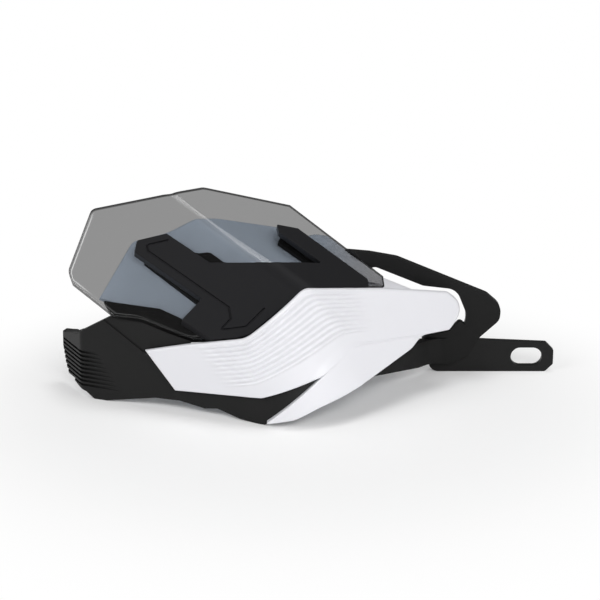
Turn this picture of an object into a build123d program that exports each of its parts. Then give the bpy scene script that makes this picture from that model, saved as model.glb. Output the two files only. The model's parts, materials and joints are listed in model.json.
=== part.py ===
from build123d import *
import os
from math import cos, radians, sin, sqrt, tan

# Right-hand motorcycle hand guard, in millimetres.
# The origin is the centre of the bracket's slot, on the bracket's rear face.
# +X runs from the bar end to the mount, -Y is the front and +Z is up.

# Place of the chin, the lowest point at the front, measured from the slot
slot_reach = 159.5
slot_back = 95.8
slot_height = 9.5

# Outer form: two straight wings and a round nose in plan, carried upwards along a leaning line
left_sweep = 22.0
right_sweep = 38.0
nose_radius = 65.0
nose_reach = 35.5
lean_side = -0.45
lean_back = 0.30

# Walls and fits
shield_thick = 3.2
shell_thick = 3.0
fit = 0.2
clamp_thick = 4.0
screen_thick = 2.0
carrier_thick = 3.0
flange_thick = 2.5
frame_thick = 5.0
bracket_thick = 4.0

# Hood: the screen and its clamps lie on two facets that meet in a rounded ridge
ridge_x = 24.9
ridge_y = 27.3
ridge_z = 73.9
ridge_run = Vector(-77.0, 43.5, 46.0)
hood_across = Vector(0.623, 0.665, 0.412)
hood_fold = 48.5
ridge_radius = 15.0

# Contour ribs of the shield
rib_count = 9
rib_pitch = 2.5
rib_width = 1.3
rib_height = 0.6
rib_start = -38.0
rib_step = 3.0
rib_end = 62.0
low_kink_shift = 0.27
high_kink_shift = 0.86
tail_rise = 1.1

# Wrapped end of the shell and the grooves that leave its louvre ribs
end_corner_x = -109.5
end_tip_x = -123.5
end_tip_y = 71.0
end_radius = 9.0
end_join_x = -74.0
groove_count = 9
groove_pitch = 2.45
groove_first = 7.2
groove_height = 1.3
groove_sink = 1.7
groove_fade_x = -84.0
groove_fade_step = 1.6
facet_depth = 0.9

# Screws, bolts and inserts
clamp_screw = 4.0
clamp_head = 7.6
clamp_head_height = 2.4
clamp_insert = 6.0
clamp_insert_depth = 3.0
grommet_hole = 8.0
shield_screw = 3.5
shield_head = 7.0
shield_head_height = 2.2
shield_boss = 7.0
shell_screw = 4.0
shell_head = 7.6
frame_screw = 4.0
frame_head = 7.6
frame_head_height = 2.6
boss_width = 10.0
boss_length = 15.0
boss_insert = 6.0
boss_insert_depth = 9.0
bracket_bolt = 5.0
bracket_head = 9.0
bracket_insert = 7.4
bracket_insert_depth = 4.2
washer_thick = 1.0
washer_rim = 2.4
hex_key_depth = 1.4
hole_play = 0.4

# Bracket, measured from its slot
slot_length = 19.0
slot_width = 11.5
bracket_tip = 16.5
bracket_root = 59.5
bracket_tip_top = 8.7
bracket_root_top = 12.0
bracket_tip_cut = 4.6
bracket_root_round = 6.0
bolt_inner = 41.0
bolt_outer = 53.0
bolt_height = 3.4

# Planes and layers worked out from the values above
chin = Vector(-slot_reach, -slot_back, -slot_height)
floor_plane = Plane(origin=chin)
front_plane = Plane(origin=chin, x_dir=(1, 0, 0), z_dir=(0, -1, 0))
form_lean = Vector(lean_side, lean_back, 1)
left_turn = radians(left_sweep)
right_turn = radians(right_sweep)
half_fold = radians(hood_fold / 2)
far = 260.0  # past every edge of the part

shell_front = shield_thick + fit
shell_back = shell_front + shell_thick
screen_front = clamp_thick + fit
screen_back = screen_front + screen_thick
carrier_front = screen_back + fit
carrier_back = carrier_front + carrier_thick
flange_front = carrier_back + fit
flange_back = flange_front + flange_thick
frame_front = slot_back - bracket_thick - frame_thick

ridge_foot = chin + Vector(ridge_x, ridge_y, ridge_z)
ridge_section = Plane(origin=ridge_foot, x_dir=hood_across, z_dir=ridge_run)
hood_plane = Plane(origin=ridge_foot, x_dir=ridge_section.x_dir, z_dir=ridge_section.y_dir * -1)


def moved_back(points, distance):
    """Corners of an open line moved to its right by a distance, with mitred corners."""
    sides = [(Vector(b) - Vector(a)).normalized() for a, b in zip(points, points[1:])]
    inward = [Vector(side.Y, -side.X) for side in sides]
    moved = [Vector(points[0]) + inward[0] * distance]
    for point, first, second in zip(points[1:], inward, inward[1:]):
        moved.append(Vector(point) + (first + second) * (distance / (1 + first.dot(second))))
    moved.append(Vector(points[-1]) + inward[-1] * distance)
    return moved


def bent_sheet(plane, points, radii, front, back, lean):
    """Sheet between two distances behind a bent line, carried from its plane along a leaning line."""
    with BuildPart() as sheet:
        with BuildSketch(plane):
            with BuildLine():
                outer = FilletPolyline(*moved_back(points, front), radius=[r - front for r in radii])
                inner = FilletPolyline(*moved_back(points, back), radius=[r - back for r in radii])
                Line(outer @ 0, inner @ 0)
                Line(outer @ 1, inner @ 1)
            make_face()
        extrude(amount=lean.length, dir=lean.normalized())
    return sheet.part


apex = Vector(nose_reach, -nose_reach * tan(left_turn))
form_line = [
    apex + Vector(cos(right_turn), sin(right_turn)) * far,
    apex,
    apex + Vector(-cos(left_turn), sin(left_turn)) * far,
]


def form_wall(front, back):
    """Wall between two distances behind the guard's outer form."""
    return bent_sheet(floor_plane, form_line, [nose_radius], front, back, form_lean * far)


def behind_form(front):
    """All the room behind the outer form, from a distance on."""
    with BuildPart() as room:
        with BuildSketch(floor_plane):
            with BuildLine():
                line = FilletPolyline(*moved_back(form_line, front), radius=nose_radius - front)
                start = line @ 0
                end = line @ 1
                Polyline(end, (end.X, 2 * far), (start.X, 2 * far), start)
            make_face()
        extrude(amount=(form_lean * far).length, dir=form_lean.normalized())
    return room.part


def hood_sheet(front, back):
    """Sheet between two distances behind the hood's two facets."""
    drop = far * tan(half_fold)
    section = [(far, drop), (0, 0), (-far, drop)]
    rise = ridge_section.z_dir * (2 * far)
    return bent_sheet(ridge_section.offset(-far), section, [ridge_radius], front, back, rise)


def front_prism(points, radii=None):
    """Block with a front outline, cut straight through along Y."""
    with BuildPart() as block:
        with BuildSketch(front_plane):
            with BuildLine():
                FilletPolyline(*points, radius=radii or [0] * len(points), close=True)
            make_face()
        extrude(amount=far, both=True)
    return block.part


def hood_prism(points, radii=None):
    """Block with an outline drawn square to the hood."""
    with BuildPart() as block:
        with BuildSketch(hood_plane):
            with BuildLine():
                FilletPolyline(*points, radius=radii or [0] * len(points), close=True)
            make_face()
        extrude(amount=far, both=True)
    return block.part


def form_seat(x, z, back=0.0):
    """Plane on the outer form at a front position, facing outwards, moved back through the walls."""
    plan_x = x - lean_side * z
    turn = (left_turn + right_turn) / 2
    bias = (right_turn - left_turn) / 2
    centre = apex + Vector(-sin(bias), cos(bias)) * (nose_radius / cos(turn))
    reach = nose_radius * tan(turn)
    if plan_x < apex.X - reach * cos(left_turn):
        plan_y = apex.Y + (apex.X - plan_x) * tan(left_turn)
        out = Vector(-sin(left_turn), -cos(left_turn))
    elif plan_x > apex.X + reach * cos(right_turn):
        plan_y = apex.Y + (plan_x - apex.X) * tan(right_turn)
        out = Vector(sin(right_turn), -cos(right_turn))
    else:
        plan_y = centre.Y - sqrt(nose_radius**2 - (plan_x - centre.X) ** 2)
        out = (Vector(plan_x, plan_y) - centre).normalized()
    normal = Vector(out.X, out.Y, -(out.X * lean_side + out.Y * lean_back))
    slope = normal.length
    point = chin + Vector(x, plan_y + lean_back * z, z)
    return Plane(origin=point - normal.normalized() * (back / slope), x_dir=(0, 0, 1), z_dir=normal)


def hood_seat(across, along, back=0.0):
    """Plane on one facet of the hood, facing outwards, moved back through the layers."""
    side = 1 if across > 0 else -1
    normal = hood_plane.z_dir * cos(half_fold) + hood_plane.x_dir * (side * sin(half_fold))
    point = hood_plane.from_local_coords(Vector(across, along, -abs(across) * tan(half_fold)))
    return Plane(origin=point - normal * back, x_dir=hood_plane.y_dir, z_dir=normal)


# Places of the fasteners
clamp_seats = [(-29.0, 78.0), (-40.0, 28.0), (35.5, 20.0)]
shield_seats = [(-47.0, 20.5), (-31.0, 21.0), (-15.0, 21.5)]
shell_seats = [(35.0, 23.0), (47.0, 26.5)]
boss_seats = [(40.0, 62.5), (53.0, 60.0)]
bolt_seats = [(slot_reach - place, slot_height + bolt_height) for place in (bolt_outer, bolt_inner)]

# Front outline of the shield, from its upper left corner along the top edge
shield_outline = [
    (-67.8, 34.5),
    (-42.4, 41.5),
    (-9.0, 48.8),
    (23.5, 73.8),
    (72.9, 63.8),
    (109.0, 54.6),
    (116.5, 42.0),
    (110.0, 35.0),
    (92.0, 36.0),
    (86.9, 31.2),
    (56.0, 19.5),
    (33.0, 12.0),
    (18.7, 5.5),
    (2.8, 2.7),
    (33.4, 27.2),
    (0.0, 16.1),
    (-50.4, 13.5),
]
shield_rounds = [0.5, 0, 6.0, 9.0, 0, 5.0, 6.0, 4.0, 2.0, 6.0, 20.0, 20.0, 6.0, 0, 0.8, 3.0, 0.5]
tail_outline = [
    (33.4, 27.2),
    (33.4, 29.7),
    (51.0, 39.3),
    (92.0, 36.0),
    (86.9, 31.2),
    (56.0, 19.5),
    (33.0, 12.0),
    (18.7, 5.5),
    (2.8, 2.7),
]
tail_rounds = [0, 0, 9.0, 1.0, 6.0, 20.0, 20.0, 6.0, 0]
flange_outline = [
    (-65.0, 96.5),
    (-30.0, 103.0),
    (-15.0, 89.5),
    (11.7, 75.5),
    (42.0, 49.0),
    (66.0, -11.0),
    (90.0, -50.0),
    (62.0, -62.0),
    (20.0, -36.0),
    (-22.0, -14.0),
    (-46.0, 4.0),
    (-50.0, 36.0),
    (-56.0, 70.0),
]
flange_rounds = [3.0, 5.0, 8.0, 10.0, 12.0, 12.0, 0, 0, 0, 0, 5.0, 20.0, 30.0]


def contour_ribs():
    """Ridges that repeat the shield's top edge, each a pitch lower than the last."""
    low_kink = Vector(*shield_outline[2])
    high_kink = Vector(*shield_outline[3])
    left_slope = low_kink - Vector(*shield_outline[1])
    right_slope = Vector(*shield_outline[4]) - high_kink
    with BuildPart() as ribs:
        with BuildSketch(front_plane):
            for level in range(1, rib_count + 1):
                drop = level * rib_pitch
                low = low_kink + Vector(low_kink_shift, -1) * drop
                high = high_kink + Vector(high_kink_shift, -1) * drop
                start_x = rib_start + rib_step * level
                start = low + left_slope * ((start_x - low.X) / left_slope.X)
                end = high + right_slope * ((rib_end - high.X) / right_slope.X)
                with BuildLine():
                    path = FilletPolyline(start, low, high, end, radius=6.0)
                trace(path, line_width=rib_width)
        extrude(amount=far, both=True)
        add(form_wall(-rib_height, shield_thick / 2), mode=Mode.INTERSECT)
    return ribs.part


def flange_boss(x, z):
    """Screw boss under the flange, ending at the frame."""
    with BuildPart() as boss:
        with BuildSketch(front_plane.offset(fit - frame_front)):
            with Locations((x, z)):
                Circle(boss_width / 2)
                Rectangle(boss_width, 2 * boss_width, align=(Align.CENTER, Align.MIN))
        extrude(amount=boss_length)
        add(hood_sheet(-far / 8, (flange_front + flange_back) / 2), mode=Mode.SUBTRACT)
    return boss.part


# White shield: ribbed wall, raised tail, flange behind the screen and screw bosses
with BuildPart() as flange:
    add(hood_sheet(flange_front, flange_back))
    add(hood_prism(flange_outline, flange_rounds), mode=Mode.INTERSECT)
    add(behind_form(shield_thick / 2), mode=Mode.INTERSECT)
    with BuildSketch(front_plane.offset(fit - frame_front)):
        with Locations((far / 2, far / 2)):
            Rectangle(far * 0.8, far)
    extrude(amount=-far, mode=Mode.SUBTRACT)

with BuildPart() as tail:
    add(form_wall(-tail_rise, shield_thick / 2))
    add(front_prism(tail_outline, tail_rounds), mode=Mode.INTERSECT)

with BuildPart() as main_shield:
    add(form_wall(0, shield_thick))
    add(front_prism(shield_outline, shield_rounds), mode=Mode.INTERSECT)
    add(tail.part)
    add(contour_ribs())
    add(flange.part)
    for seat in boss_seats:
        add(flange_boss(*seat))
    for seat in shield_seats:
        with BuildSketch(form_seat(*seat, shield_thick)):
            Circle(shield_boss / 2)
        extrude(amount=-(shell_thick - fit))
        with BuildSketch(form_seat(*seat, shield_thick / 2)):
            Circle(shield_screw / 2)
        extrude(amount=-far / 8, mode=Mode.SUBTRACT)
    for x, z in boss_seats:
        with BuildSketch(front_plane.offset(fit - frame_front)):
            with Locations((x, z)):
                RegularPolygon(boss_insert / 2, 6)
        extrude(amount=boss_insert_depth, mode=Mode.SUBTRACT)
    for seat in clamp_seats:
        with BuildSketch(hood_seat(*seat, flange_front)):
            Circle(clamp_screw / 2 + hole_play / 2)
        extrude(amount=flange_thick, both=True, mode=Mode.SUBTRACT)
main_shield.part.label = "main_shield"

# Room that the shield's wall takes, with its fit, cut from whatever tucks in behind it
with BuildPart() as shield_room:
    add(form_wall(-tail_rise - fit, shield_thick + fit))
    with BuildSketch(front_plane):
        with BuildLine():
            FilletPolyline(*shield_outline, radius=shield_rounds, close=True)
        make_face()
        offset(amount=fit)
    extrude(amount=far, both=True, mode=Mode.INTERSECT)

# Outline of the carrier behind the screen, drawn square to the hood
carrier_outline = [
    (-66.0, 92.3),
    (-51.2, 62.6),
    (-48.0, 46.0),
    (-37.0, 46.0),
    (-37.0, 88.0),
    (-23.0, 80.0),
    (-15.6, 65.3),
    (-11.6, 60.5),
    (-11.6, 50.5),
    (-6.4, 40.5),
    (0.0, 32.0),
    (6.0, 27.5),
    (17.0, 19.0),
    (26.5, 14.0),
    (25.5, 38.6),
    (33.0, 42.0),
    (41.0, 34.0),
    (40.5, -14.0),
    (35.0, -18.0),
    (2.0, 1.5),
    (-34.0, 11.5),
    (-48.0, 27.0),
    (-54.5, 36.0),
    (-61.8, 67.0),
    (-69.3, 83.0),
]
carrier_rounds = [0] * 6 + [6.0, 6.0] + [0] * 17
# Room that the carrier takes, with its fit, cut from the shell's rim
with BuildPart() as carrier_room:
    add(hood_sheet(carrier_front - fit, carrier_back + fit))
    with BuildSketch(hood_plane):
        with BuildLine():
            Polyline(*carrier_outline, close=True)
        make_face()
        offset(amount=fit)
    extrude(amount=far, both=True, mode=Mode.INTERSECT)

# Black outer shell: wall behind the shield, wedge under it and an end that wraps round
shell_outline = [
    (-104.0, 4.0),
    (-99.0, 0.0),
    (-92.0, 0.0),
    (-62.0, 6.0),
    (-48.0, 6.4),
    (-33.0, 4.0),
    (-26.0, 5.0),
    (-13.0, 1.0),
    (-5.0, 0.0),
    (1.5, 0.0),
    (9.0, 5.0),
    (34.0, 15.5),
    (54.0, 22.0),
    (54.0, 32.0),
    (20.0, 32.0),
    (-8.0, 26.0),
    (-38.0, 22.0),
    (-49.0, 28.0),
    (-40.5, 42.0),
    (-69.5, 50.5),
    (-88.0, 50.8),
    (-105.0, 40.5),
    (-109.5, 37.8),
    (-114.0, 35.2),
    (-118.0, 33.0),
    (-122.0, 30.5),
    (-118.5, 13.0),
    (-116.5, 8.5),
]
facet_outline = [
    (-93.5, 48.5),
    (-69.3, 32.4),
    (-44.0, 30.0),
    (-38.0, 44.0),
    (-70.0, 56.0),
    (-92.0, 56.0),
]
wing_lean = Vector(0, lean_back + lean_side * tan(left_turn), 1)
end_line = [
    Vector(end_join_x, -end_join_x * tan(left_turn)),
    Vector(end_corner_x, -end_corner_x * tan(left_turn)),
    Vector(end_tip_x, end_tip_y),
]


def louvre_groove(level):
    """Groove round the wrapped end, one of a stack, fading out on the wing."""
    fade_x = groove_fade_x - level * groove_fade_step
    line = [Vector(fade_x, -fade_x * tan(left_turn)), end_line[1], end_line[2]]
    mouth = moved_back(line, shell_front - groove_sink)
    root = moved_back(line, shell_front + groove_sink)
    root[0] = moved_back(line, shell_front)[0]
    lift = wing_lean * (groove_first + level * groove_pitch)
    with BuildPart() as groove:
        with BuildSketch(Plane(origin=chin + lift)):
            with BuildLine():
                outer = FilletPolyline(*mouth, radius=end_radius - shell_front + groove_sink)
                inner = FilletPolyline(*root, radius=end_radius - shell_front - groove_sink)
                Line(outer @ 0, inner @ 0)
                Line(outer @ 1, inner @ 1)
            make_face()
        extrude(amount=groove_height)
    return groove.part


with BuildPart() as wrapped_end:
    add(bent_sheet(floor_plane, end_line, [end_radius], shell_front, shell_back, wing_lean * far))

with BuildPart() as outer_shell:
    add(form_wall(shell_front, shell_back))
    with BuildSketch(front_plane):
        with Locations((end_join_x, 0)):
            Rectangle(far, far, align=(Align.MIN, Align.MIN))
    extrude(amount=far, both=True, mode=Mode.INTERSECT)
    with BuildSketch(front_plane):
        with Locations((end_join_x, 0)):
            Rectangle(far, far, align=(Align.MAX, Align.MIN))
    left_half = extrude(amount=far, both=True, mode=Mode.PRIVATE)
    add(wrapped_end.part & left_half)
    add(front_prism(shell_outline), mode=Mode.INTERSECT)
    for level in range(groove_count):
        add(louvre_groove(level), mode=Mode.SUBTRACT)
    facet_skin = form_wall(shell_front - fit, shell_front + facet_depth)
    add(facet_skin & front_prism(facet_outline), mode=Mode.SUBTRACT)
    add(carrier_room.part, mode=Mode.SUBTRACT)
    for seat in shield_seats:
        with BuildSketch(form_seat(*seat, shell_front)):
            Circle(shield_boss / 2 + hole_play / 2)
        extrude(amount=2 * shell_thick, both=True, mode=Mode.SUBTRACT)
    for seat in shell_seats:
        with Locations(form_seat(*seat, shell_front)):
            CounterSinkHole(
                shell_screw / 2 + hole_play / 2,
                shell_head / 2 + hole_play / 2,
                depth=2 * shell_thick,
                counter_sink_angle=90,
            )
outer_shell.part.label = "outer_shell"

# Smoked screen
screen_outline = [
    (-32.3, 133.2),
    (4.0, 99.5),
    (22.5, 94.5),
    (61.2, 54.8),
    (58.5, 33.0),
    (59.0, -17.5),
    (51.0, -24.5),
    (4.0, 1.0),
    (-35.0, 11.0),
    (-54.5, 34.5),
    (-62.0, 66.5),
    (-70.5, 82.0),
    (-70.2, 112.6),
    (-66.0, 120.5),
]
screen_rounds = [1.0, 12.0, 6.0, 4.0, 10.0, 4.0, 3.0, 4.0, 6.0, 6.0, 8.0, 6.0, 3.0, 5.0]
with BuildPart() as screen_room:
    add(hood_sheet(-far / 8, screen_back + fit))
    with BuildSketch(hood_plane):
        with BuildLine():
            FilletPolyline(*screen_outline, radius=screen_rounds, close=True)
        make_face()
        offset(amount=fit)
    extrude(amount=far, both=True, mode=Mode.INTERSECT)

with BuildPart() as wind_screen:
    add(hood_sheet(screen_front, screen_back))
    add(hood_prism(screen_outline, screen_rounds), mode=Mode.INTERSECT)
    add(shield_room.part, mode=Mode.SUBTRACT)
    for seat in clamp_seats:
        with BuildSketch(hood_seat(*seat, screen_front)):
            Circle(grommet_hole / 2)
        extrude(amount=2 * screen_thick, both=True, mode=Mode.SUBTRACT)
wind_screen.part.label = "wind_screen"

# Y-shaped clamp in front of the screen
clamp_outline = [
    (-38.8, 94.3),
    (-33.1, 97.6),
    (-20.6, 86.0),
    (-19.4, 54.5),
    (-6.0, 34.7),
    (0.0, 27.3),
    (6.0, 22.4),
    (17.0, 16.1),
    (28.5, 8.5),
    (28.0, 40.8),
    (33.0, 46.2),
    (42.3, 36.9),
    (42.5, -16.0),
    (36.7, -20.7),
    (2.0, -0.2),
    (-36.7, 8.8),
    (-42.7, 13.8),
    (-51.0, 24.9),
    (-52.6, 46.0),
    (-37.0, 44.5),
]
clamp_rounds = [1.0, 1.5, 1.5, 1.0, 10.0, 10.0, 10.0, 0, 1.0, 1.0, 1.0, 1.0, 2.0, 1.0, 4.0, 5.0]
clamp_rounds += [2.0, 1.5, 1.0, 1.0]
groove_line = [
    (-23.0, 82.5),
    (-32.0, 90.8),
    (-34.2, 88.0),
    (-32.3, 28.6),
    (-36.4, 23.3),
    (-44.4, 24.1),
    (-35.0, 13.4),
    (-21.2, 11.6),
]
groove_width = 1.3
groove_depth = 1.0
with BuildPart() as clamp_groove:
    with BuildSketch(hood_plane):
        with BuildLine():
            groove_path = FilletPolyline(*groove_line, radius=0.8)
        trace(groove_path, line_width=groove_width)
    extrude(amount=far, both=True)
    add(hood_sheet(-fit, groove_depth), mode=Mode.INTERSECT)

with BuildPart() as screen_clamp:
    add(hood_sheet(0, clamp_thick))
    add(hood_prism(clamp_outline, clamp_rounds), mode=Mode.INTERSECT)
    add(shield_room.part, mode=Mode.SUBTRACT)
    add(clamp_groove.part, mode=Mode.SUBTRACT)
    for seat in clamp_seats:
        with BuildSketch(hood_seat(*seat, clamp_thick)):
            RegularPolygon(clamp_insert / 2, 6)
        extrude(amount=clamp_insert_depth, mode=Mode.SUBTRACT)
screen_clamp.part.label = "screen_clamp"

# Carrier behind the screen, with a strip along the screen's lower left edge
with BuildPart() as screen_carrier:
    add(hood_sheet(carrier_front, carrier_back))
    add(hood_prism(carrier_outline, carrier_rounds), mode=Mode.INTERSECT)
    add(shield_room.part, mode=Mode.SUBTRACT)
    for seat in clamp_seats:
        with BuildSketch(hood_seat(*seat, carrier_front)):
            Circle(clamp_screw / 2 + hole_play / 2)
        extrude(amount=2 * carrier_thick, both=True, mode=Mode.SUBTRACT)
screen_carrier.part.label = "screen_carrier"

# Support frame: a flat loop in front of the bracket, an upper arm and a lower limb that reaches the shell
frame_outline = [
    (33.0, 57.0),
    (33.0, 70.0),
    (46.0, 78.5),
    (63.0, 77.0),
    (79.5, 74.0),
    (slot_reach - 25.5, slot_height + 41.7),
    (slot_reach - 16.8, slot_height + 34.0),
    (slot_reach - 17.5, slot_height + 25.0),
    (slot_reach - 29.0, slot_height + 14.4),
    (slot_reach - 36.0, slot_height + 2.0),
    (slot_reach - 47.0, slot_height - 3.0),
    (slot_reach - 60.5, slot_height - 2.4),
    (slot_reach - 63.0, slot_height + 12.0),
    (slot_reach - 43.5, slot_height + 14.6),
    (slot_reach - 36.0, slot_height + 25.0),
    (slot_reach - 44.0, slot_height + 44.5),
    (95.3, 56.4),
    (63.4, 69.5),
    (60.0, 54.5),
]
frame_rounds = [4.0, 4.0, 0, 6.0, 12.0, 7.0, 9.0, 7.0, 4.0, 4.0, 6.0, 3.0, 0, 8.0, 14.0, 9.0, 6.0, 4.0, 4.0]
limb_line = [
    Vector(slot_reach - 30.0, frame_front),
    Vector(slot_reach - 57.0, frame_front),
    Vector(apex.X - 9.5, apex.Y + 14.7),
]
limb_outline = [
    (slot_reach - 36.0, slot_height + 14.0),
    (slot_reach - 60.0, slot_height + 13.4),
    (80.0, 24.0),
    (46.0, 28.0),
    (40.0, 26.0),
    (40.0, 18.0),
    (69.0, 12.8),
    (92.7, 7.6),
    (slot_reach - 47.0, slot_height - 3.0),
    (slot_reach - 36.0, slot_height + 2.0),
]
foot_outline = [
    (27.0, 16.0),
    (54.0, 20.0),
    (55.0, 33.0),
    (27.0, 30.0),
]
with BuildPart() as limb:
    add(bent_sheet(floor_plane, limb_line, [16.0], 0, frame_thick, Vector(0, 0, far)))
    add(front_prism(limb_outline), mode=Mode.INTERSECT)
    add(behind_form(shell_back + fit), mode=Mode.INTERSECT)
with BuildPart() as foot:
    add(form_wall(shell_back + fit, shell_back + fit + frame_thick))
    add(front_prism(foot_outline, [3.0] * 4), mode=Mode.INTERSECT)
with BuildPart() as support_frame:
    with BuildSketch(front_plane.offset(-frame_front)):
        with BuildLine():
            FilletPolyline(*frame_outline, radius=frame_rounds, close=True)
        make_face()
    extrude(amount=-frame_thick)
    add(limb.part)
    add(foot.part)
    add(screen_room.part, mode=Mode.SUBTRACT)
    for x, z in boss_seats:
        with BuildSketch(front_plane.offset(-frame_front)):
            with Locations((x, z)):
                Circle(frame_screw / 2 + hole_play / 2)
        extrude(amount=-frame_thick, mode=Mode.SUBTRACT)
    for seat in shell_seats:
        with BuildSketch(form_seat(*seat, shell_back)):
            Circle(shell_screw / 2)
        extrude(amount=-2 * frame_thick, mode=Mode.SUBTRACT)
    for x, z in bolt_seats:
        with BuildSketch(front_plane.offset(-frame_front - frame_thick)):
            with Locations((x, z)):
                RegularPolygon(bracket_insert / 2, 6)
        extrude(amount=bracket_insert_depth, mode=Mode.SUBTRACT)
support_frame.part.label = "support_frame"

# Slotted bracket, its bolt heads sunk flush so that its rear face lies flat
bolt_backs = [
    Plane(origin=(x, 0, bolt_height), x_dir=(1, 0, 0), z_dir=(0, 1, 0)) for x in (-bolt_outer, -bolt_inner)
]
bracket_outline = [
    (-bracket_root, -slot_height),
    (bracket_tip, -slot_height),
    (bracket_tip, bracket_tip_top),
    (-bracket_root, bracket_root_top),
]
with BuildPart() as mount_bracket:
    with BuildSketch(Plane.XZ) as bracket_face:
        with BuildLine():
            Polyline(*bracket_outline, close=True)
        make_face()
        chamfer(bracket_face.vertices().group_by(Axis.X)[-1], length=bracket_tip_cut)
        fillet(bracket_face.vertices().group_by(Axis.X)[0], radius=bracket_root_round)
        SlotOverall(slot_length, slot_width, mode=Mode.SUBTRACT)
    extrude(amount=bracket_thick)
    for seat in bolt_backs:
        with Locations(seat):
            CounterSinkHole(
                bracket_bolt / 2 + hole_play / 2,
                bracket_head / 2 + hole_play / 2,
                depth=bracket_thick,
                counter_sink_angle=90,
            )
mount_bracket.part.label = "mount_bracket"


def socket_screw(plane, size, head, head_height, length):
    """Round-headed screw with a hexagon socket, its head seated on a plane and its shank behind it."""
    with BuildPart(plane) as screw:
        Cylinder(head / 2, head_height, align=(Align.CENTER, Align.CENTER, Align.MIN))
        Cylinder(size / 2, length, align=(Align.CENTER, Align.CENTER, Align.MAX))
        with BuildSketch(plane.offset(head_height)):
            RegularPolygon(size / 3, 6)
        extrude(amount=-hex_key_depth, mode=Mode.SUBTRACT)
    return screw.part


def washer(plane, size, thick, rim):
    """Flat washer lying on a plane."""
    with BuildPart() as ring:
        with BuildSketch(plane):
            Circle(size / 2 + rim)
            Circle(size / 2, mode=Mode.SUBTRACT)
        extrude(amount=thick)
    return ring.part


def hex_insert(plane, size, corners, thick):
    """Six-sided threaded insert standing on a plane."""
    with BuildPart() as nut:
        with BuildSketch(plane):
            RegularPolygon(corners / 2, 6)
            Circle(size / 2, mode=Mode.SUBTRACT)
        extrude(amount=thick)
    return nut.part


def turned_round(plane):
    """The same seat, facing the other way."""
    return Plane(origin=plane.origin, x_dir=plane.x_dir, z_dir=plane.z_dir * -1)


def group(pieces, label):
    """Like pieces as one node of separate solids."""
    solids = [solid for piece in pieces for solid in piece.solids()]
    return Compound(label=label, children=solids)


clamp_backs = [turned_round(hood_seat(*seat, flange_back)) for seat in clamp_seats]
clamp_grip = flange_back - clamp_thick + clamp_insert_depth
clamp_washers = group(
    [washer(seat, clamp_screw, washer_thick, washer_rim) for seat in clamp_backs], "clamp_washers"
)
clamp_screws = group(
    [
        socket_screw(
            seat.offset(washer_thick), clamp_screw, clamp_head, clamp_head_height, clamp_grip + washer_thick
        )
        for seat in clamp_backs
    ],
    "clamp_screws",
)
clamp_inserts = group(
    [
        hex_insert(hood_seat(*seat, clamp_thick), clamp_screw, clamp_insert, clamp_insert_depth)
        for seat in clamp_seats
    ],
    "clamp_inserts",
)
screen_grommets = group(
    [
        washer(hood_seat(*seat, screen_back), clamp_screw, screen_thick, (grommet_hole - clamp_screw) / 2)
        for seat in clamp_seats
    ],
    "screen_grommets",
)

shield_backs = [turned_round(form_seat(*seat, shell_back)) for seat in shield_seats]
shield_washers = group(
    [washer(seat, shield_screw, washer_thick, washer_rim) for seat in shield_backs], "shield_washers"
)
shield_screws = group(
    [
        socket_screw(
            seat.offset(washer_thick),
            shield_screw,
            shield_head,
            shield_head_height,
            shell_thick + washer_thick,
        )
        for seat in shield_backs
    ],
    "shield_screws",
)


def countersunk_screw(plane, size, head, length):
    """Flat-headed screw flush with its seat."""
    cone = (head - size) / 2
    with BuildPart(plane) as screw:
        Cone(size / 2, head / 2, cone, align=(Align.CENTER, Align.CENTER, Align.MAX))
        Cylinder(size / 2, length, align=(Align.CENTER, Align.CENTER, Align.MAX))
        with BuildSketch(plane):
            RegularPolygon(size / 3, 6)
        extrude(amount=-hex_key_depth, mode=Mode.SUBTRACT)
    return screw.part


shell_screws = group(
    [
        countersunk_screw(form_seat(*seat, shell_front), shell_screw, shell_head, shell_thick + frame_thick)
        for seat in shell_seats
    ],
    "shell_screws",
)

frame_rear = front_plane.offset(-frame_front - frame_thick)
boss_backs = [
    Plane(origin=frame_rear.from_local_coords(Vector(x, z, 0)), x_dir=(1, 0, 0), z_dir=(0, 1, 0))
    for x, z in boss_seats
]
frame_washers = group(
    [washer(seat, frame_screw, washer_thick, washer_rim) for seat in boss_backs], "frame_washers"
)
frame_screws = group(
    [
        socket_screw(
            seat.offset(washer_thick),
            frame_screw,
            frame_head,
            frame_head_height,
            washer_thick + frame_thick + fit + boss_insert_depth,
        )
        for seat in boss_backs
    ],
    "frame_screws",
)
boss_inserts = group(
    [
        hex_insert(
            seat.offset(-frame_thick - fit - boss_insert_depth),
            frame_screw,
            boss_insert,
            boss_insert_depth,
        )
        for seat in boss_backs
    ],
    "boss_inserts",
)

bracket_bolts = group(
    [
        countersunk_screw(seat, bracket_bolt, bracket_head, bracket_thick + bracket_insert_depth)
        for seat in bolt_backs
    ],
    "bracket_bolts",
)
frame_inserts = group(
    [
        hex_insert(
            seat.offset(-bracket_thick - bracket_insert_depth),
            bracket_bolt,
            bracket_insert,
            bracket_insert_depth,
        )
        for seat in bolt_backs
    ],
    "frame_inserts",
)

os.makedirs("parts", exist_ok=True)
moulded = [main_shield, outer_shell, wind_screen, screen_clamp, screen_carrier, support_frame, mount_bracket]
for piece in moulded:
    export_step(piece.part, f"parts/{piece.part.label}.step")
hardware = [
    clamp_screws,
    clamp_washers,
    clamp_inserts,
    screen_grommets,
    shield_screws,
    shield_washers,
    shell_screws,
    frame_screws,
    frame_washers,
    boss_inserts,
    bracket_bolts,
    frame_inserts,
]
for piece in hardware:
    export_step(piece, f"parts/{piece.label}.step")
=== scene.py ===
import json
from math import radians

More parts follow.
